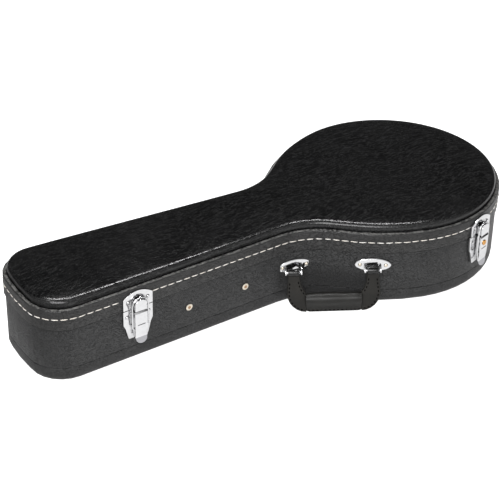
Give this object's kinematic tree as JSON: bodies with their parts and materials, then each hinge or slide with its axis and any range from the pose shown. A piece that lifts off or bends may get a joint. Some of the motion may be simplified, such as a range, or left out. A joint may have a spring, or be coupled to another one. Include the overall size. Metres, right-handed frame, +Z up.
{
  "type": "mandolin case",
  "caption": "Rigid shaped carrying case for a mandolin, with a hinged lid, draw latches, a swinging handle, a padded well and an accessory flap.",
  "frame": {"origin": "on the floor, under the centre of the round bout", "axes": "+Z up; +X from the head end towards the bout along the case's length; the handle and latches are on the -Y side, the hinges on the +Y side"},
  "size_m": [0.7294, 0.3206, 0.1253],
  "materials": {
    "black_vinyl": "bent ply covered with grained black vinyl",
    "lining_plush": "thin board covered with dark plush",
    "plush": "dark plush over foam",
    "leather": "dark brown-black leather, stitched",
    "chrome": "bright plated steel",
    "brass": "polished brass",
    "cream": "cream enamelled rivet"
  },
  "bodies": {
    "case_body": {"body_bed": "plush", "body_wall": "black_vinyl", "bottom_panel": "black_vinyl", "bout_base_rivet_left": "chrome", "bout_base_rivet_right": "chrome", "bout_hinge_body_leaf": "chrome", "bout_hinge_pin": "chrome", "bout_latch_base": "chrome", "bout_lever_pin": "chrome", "compartment_hinge_rod": "chrome", "floor_pad": "plush", "front_partition": "lining_plush", "handle_bar_left": "chrome", "handle_bar_right": "chrome", "handle_mount_left": "chrome", "handle_mount_left_rivet_a": "cream", "handle_mount_left_rivet_b": "cream", "handle_mount_right": "chrome", "handle_mount_right_rivet_a": "cream", "handle_mount_right_rivet_b": "cream", "head_hinge_body_leaf": "chrome", "head_hinge_pin": "chrome", "lining_board": "lining_plush", "neck_base_rivet_left": "chrome", "neck_base_rivet_right": "chrome", "neck_latch_base": "chrome", "neck_lever_pin": "chrome", "neck_rest": "plush", "partition_rivet_front_hinge_side": "cream", "partition_rivet_front_latch_side": "cream", "partition_rivet_rear_hinge_side": "cream", "partition_rivet_rear_latch_side": "cream", "rear_partition": "lining_plush"},
    "lid": {"bout_hinge_lid_leaf": "chrome", "bout_latch_strike": "chrome", "bout_strike_rivet_left": "chrome", "bout_strike_rivet_right": "chrome", "head_hinge_lid_leaf": "chrome", "lid_band": "black_vinyl", "lid_pad": "plush", "lid_top_panel": "black_vinyl", "neck_latch_strike": "chrome", "neck_strike_rivet_left": "chrome", "neck_strike_rivet_right": "chrome"},
    "neck_lever": {"neck_latch_lever": "chrome"},
    "neck_bail": {"neck_latch_bail": "chrome"},
    "bout_lever": {"bout_latch_lever": "chrome"},
    "bout_bail": {"bout_latch_bail": "chrome"},
    "lock": {"lock_cylinder": "brass"},
    "handle": {"handle_strap_left": "leather", "handle_strap_right": "leather", "handle_grip": "leather", "handle_core": "chrome"},
    "flap": {"compartment_flap": "lining_plush", "pull_ribbon": "plush"}
  },
  "joints": [
    {"name": "lid_hinge", "type": "hinge", "parent": "case_body", "child": "lid", "pos_m": [-0.02396, 0.15658, 0.081], "axis": [-0.9885, -0.1512, 0], "range_deg": [0, 105]},
    {"name": "neck_lever_pivot", "type": "hinge", "parent": "case_body", "child": "neck_lever", "pos_m": [-0.43824, -0.07744, 0.076], "axis": [-0.9988, -0.0486, 0], "range_deg": [0, 90]},
    {"name": "neck_bail_pivot", "type": "hinge", "parent": "neck_lever", "child": "neck_bail", "pos_m": [-0.43818, -0.07864, 0.0545], "axis": [-0.9988, -0.0486, 0], "range_deg": [-90, 0]},
    {"name": "bout_lever_pivot", "type": "hinge", "parent": "case_body", "child": "bout_lever", "pos_m": [0.05036, -0.15229, 0.076], "axis": [-0.9494, -0.314, 0], "range_deg": [0, 90]},
    {"name": "bout_bail_pivot", "type": "hinge", "parent": "bout_lever", "child": "bout_bail", "pos_m": [0.05074, -0.15343, 0.0545], "axis": [-0.9494, -0.314, 0], "range_deg": [-90, 0]},
    {"name": "lock_turn", "type": "hinge", "parent": "bout_lever", "child": "lock", "pos_m": [0.05162, -0.15609, 0.0678], "axis": [0.314, -0.9494, 0], "range_deg": [0, 90]},
    {"name": "handle_swing", "type": "hinge", "parent": "case_body", "child": "handle", "pos_m": [-0.15694, -0.09824, 0.056], "axis": [-0.8558, 0.5151, -0.0473], "range_deg": [0, 150]},
    {"name": "flap_hinge", "type": "hinge", "parent": "case_body", "child": "flap", "pos_m": [-0.35375, 0, 0.04665], "axis": [0, -1, 0], "range_deg": [0, 36]}
  ],
  "couplings": [
    {"joint": "neck_bail_pivot", "follows": "neck_lever_pivot", "ratio": -1},
    {"joint": "bout_bail_pivot", "follows": "bout_lever_pivot", "ratio": -1}
  ]
}
